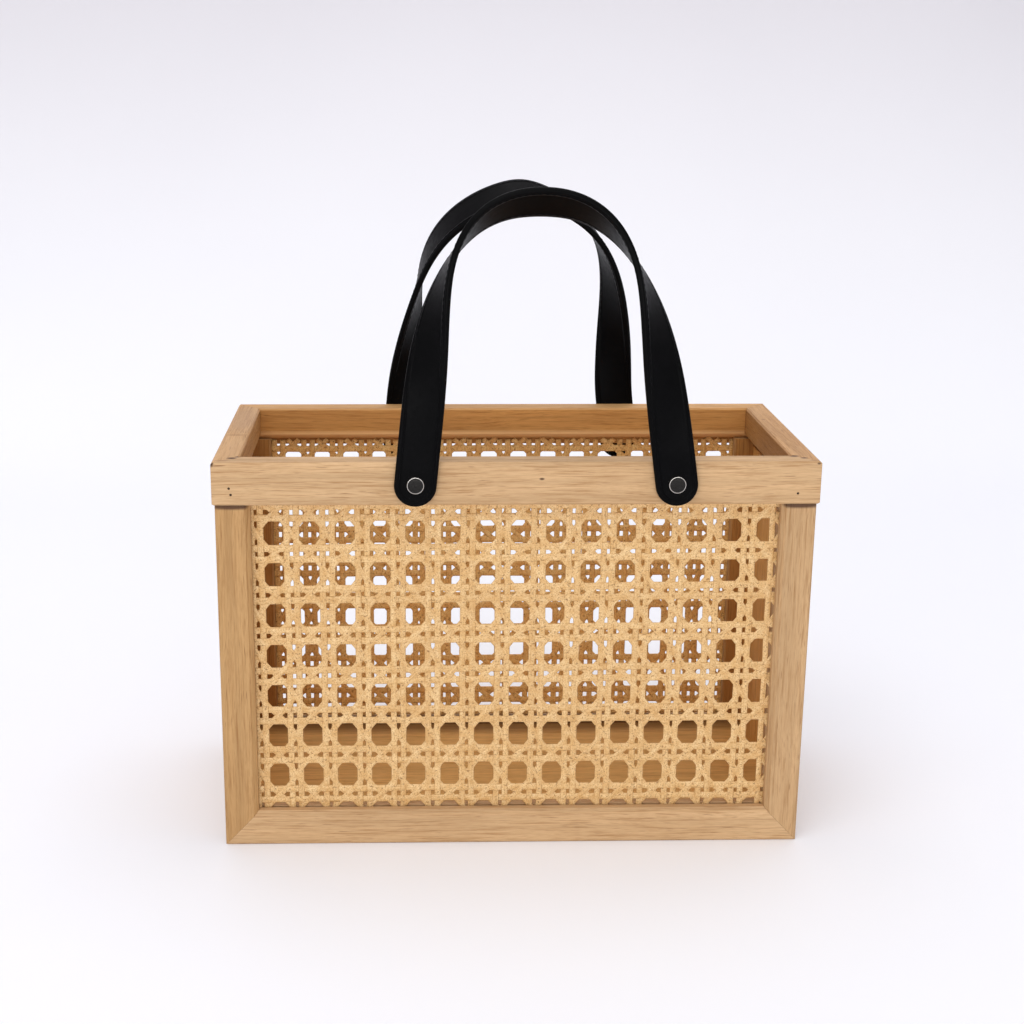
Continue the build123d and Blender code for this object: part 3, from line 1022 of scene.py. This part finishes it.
def capped_nail(name, strap, length, material):
    """A nail with a dished round cap, turned about the line that goes straight through the strap."""
    point, direction, normal, across = strap.at(length)
    origin = point + normal * (STRAP / 2)
    points = []
    from_middle = []
    for radius, height in CAP_PROFILE:
        sides = CAP_SIDES if radius else 1
        from_middle += [radius * MM] * sides
        for side in range(sides):
            angle = 2 * pi * side / CAP_SIDES
            spread = across * cos(angle) * radius + direction * sin(angle) * radius
            points.append(tuple(origin + spread + normal * height))
    piece = mesh_object(name, points, turned_faces(len(points) - 1))
    layer = piece.data.attributes.new("from_middle", "FLOAT", "POINT")
    layer.data.foreach_set("value", from_middle)
    if direction.cross(normal).dot(across) < 0:
        piece.data.flip_normals()
    finish_piece(piece, material, (name.replace("_cap", ""),))


def nickel_material():
    """Bright nickel plate with faint scratches and a little tarnish, and a painted dark reflection in the
    middle of the cap.
    """
    shader = Shader("nickel_plate")
    scratches = shader.noise(shader.stretch((2600, 2600, 350)), detail=3.0)
    haze = shader.even_noise(300, detail=3.0)
    grains = shader.even_noise(2200)
    colour = shader.mix(haze, tone(196, 190, 182), tone(224, 220, 214))
    # Painted dark reflection: the cap's middle darkened in its base colour
    centre = shader.remap(shader.attribute("from_middle", "Fac"), DARK_REFLECTION_EDGE * MM, DARK_REFLECTION_INSIDE * MM)
    colour = shader.mix(centre, colour, shader.mix(grains, tone(20, 20, 19), tone(62, 60, 58)))
    height = shader.blend(scratches, 0.3, grains, centre)
    shader.set(Base_Color=colour, Normal=shader.bump(height, 0.06 * MM, 0.4))
    shader.set(Roughness=shader.remap(haze, 0.3, 0.7, 0.13, 0.26))
    shader.surface.inputs["Metallic"].default_value = 1.0
    return shader.material


def pin_material():
    """Dull dark steel of the corner pins."""
    shader = Shader("dark_pin_steel")
    rust = shader.even_noise(1500, detail=3.0)
    shader.set(Base_Color=shader.mix(rust, tone(52, 40, 30), tone(92, 74, 58)))
    shader.set(Roughness=shader.remap(rust, 0.3, 0.7, 0.5, 0.75))
    shader.surface.inputs["Metallic"].default_value = 0.7
    return shader.material


def handle_pieces(label, handle, seed, thread, nickel):
    """One handle: the leather strap, its stitches and its two nails."""
    strap = Strap(handle)
    leather = strap_mesh(label + "_handle_leather", strap)
    if handle.side > 0:
        leather.data.flip_normals()
    black = leather_material(label + "_black_leather", seed)
    finish_piece(leather, black, (label + "_handle_strap",))
    sewn = stitches(label + "_handle_stitches", strap)
    finish_piece(sewn, thread)
    nails = (("left", strap.start + handle.end_below_nail), ("right", strap.end - handle.end_below_nail))
    for end, length in nails:
        capped_nail(f"{label}_{end}_handle_nail_cap", strap, length, nickel)


# ---------------------------------------------------------------- stage


# The photograph's camera: place in metres, turns in degrees, lens in millimetres and shares of the frame
CAMERA_PLACE = (-0.0478, -0.7563, 0.3711)
CAMERA_YAW = 1.536
CAMERA_PITCH = 14.521
CAMERA_ROLL = 0.25
CAMERA_LENS = 55.26
CAMERA_SENSOR = 36
CAMERA_SHIFT = (0.0567, -0.048)

# The sweep, in metres: half width, front edge, start and radius of the curve, and the wall's top
SWEEP_SIDE = 14.0
SWEEP_FRONT = -14.0
CURVE_START = 0.55
CURVE_RADIUS = 0.5
CURVE_STEPS = 16
WALL_TOP = 3.0
BAG_MIDDLE = (0, 0, 0.1)


def camera():
    """The photograph's viewpoint: in front, a little to the left and above, looking down at the bag."""
    yaw = radians(CAMERA_YAW)
    pitch = radians(CAMERA_PITCH)
    roll = radians(CAMERA_ROLL)
    forward = Vector((sin(yaw) * cos(pitch), cos(yaw) * cos(pitch), -sin(pitch)))
    right = Vector((cos(yaw), -sin(yaw), 0))
    up = right.cross(forward)
    rolled_right = right * cos(roll) + up * sin(roll)
    rolled_up = up * cos(roll) - right * sin(roll)
    data = bpy.data.cameras.new("camera")
    data.sensor_width = CAMERA_SENSOR
    data.lens = CAMERA_LENS
    data.shift_x, data.shift_y = CAMERA_SHIFT
    data.clip_start = 0.01
    data.clip_end = 50
    shooter = bpy.data.objects.new("camera", data)
    columns = Matrix((rolled_right, rolled_up, -forward)).transposed()
    shooter.matrix_world = Matrix.Translation(CAMERA_PLACE) @ columns.to_4x4()
    bpy.context.scene.collection.objects.link(shooter)
    bpy.context.scene.camera = shooter


def backdrop():
    """A plain pale sweep: floor in front, a wide curve, and a wall behind; the wall is painted darker, as
    painted shade.
    """
    profile = [(SWEEP_FRONT, 0.0), (CURVE_START, 0.0)]
    for step in range(1, CURVE_STEPS + 1):
        angle = pi / 2 * step / CURVE_STEPS
        profile.append((CURVE_START + CURVE_RADIUS * sin(angle), CURVE_RADIUS - CURVE_RADIUS * cos(angle)))
    profile.append((CURVE_START + CURVE_RADIUS, WALL_TOP))
    points = []
    for y, z in profile:
        points += [(side * SWEEP_SIDE / MM, y / MM, z / MM) for side in (-1, 1)]
    faces = [(2 * k, 2 * k + 1, 2 * k + 3, 2 * k + 2) for k in range(len(profile) - 1)]
    sweep = mesh_object("sweep", points, faces)
    shader = Shader("sweep_cloth")
    soft = shader.noise(shader.stretch((2.2, 1.1, 2.2)), detail=2.0)
    height = shader.parts(shader.place)["Z"]
    floor = shader.mix(soft, tone(247, 248, 253), tone(250, 251, 255))
    # The wall's darker colour is painted shade, mixed in by height
    wall = shader.mix(soft, tone(212, 209, 213), tone(224, 221, 225))
    shader.set(Base_Color=shader.mix(shader.remap(height, 0.02, 0.5), floor, wall))
    shader.surface.inputs["Roughness"].default_value = 0.9
    shader.surface.inputs["Specular IOR Level"].default_value = 0.1
    sweep.data.materials.append(shader.material)


def area_light(name, place, width, height, power):
    """A rectangular lamp that looks at the bag."""
    data = bpy.data.lights.new(name, "AREA")
    data.shape = "RECTANGLE"
    data.size = width
    data.size_y = height
    data.energy = power
    lamp = bpy.data.objects.new(name, data)
    lamp.location = place
    lamp.rotation_euler = (Vector(BAG_MIDDLE) - Vector(place)).to_track_quat("-Z", "Y").to_euler()
    bpy.context.scene.collection.objects.link(lamp)


def light():
    """Soft light from all round, stronger from above and from the left in front."""
    scene = bpy.context.scene
    world = bpy.data.worlds.new("soft_room")
    world.use_nodes = True
    world.node_tree.nodes["Background"].inputs["Color"].default_value = (0.985, 0.975, 1.0, 1)
    world.node_tree.nodes["Background"].inputs["Strength"].default_value = 0.70
    scene.world = world
    area_light("front", (-0.3, -2.2, 0.45), 2.4, 0.5, 14)
    area_light("key", (-0.5, -0.9, 1.9), 1.2, 0.8, 8)
    area_light("top", (0.1, 0.4, 1.9), 1.6, 1.0, 8)
    scene.view_settings.view_transform = "Standard"
    scene.view_settings.look = "None"
    scene.view_settings.exposure = 0.0


# ---------------------------------------------------------------- build

paint_wood()
weave_panel(FRONT_WEAVE)
weave_panel(BACK_WEAVE)
THREAD = thread_material()
NICKEL = nickel_material()
handle_pieces("front", FRONT_HANDLE, 5, THREAD, NICKEL)
handle_pieces("back", BACK_HANDLE, 9, THREAD, NICKEL)
PIN_STEEL = pin_material()
for pin in ("front_left_upper", "front_left_lower", "front_right", "back_left", "back_right"):
    repaint(pin + "_pin", PIN_STEEL)
backdrop()
light()
camera()
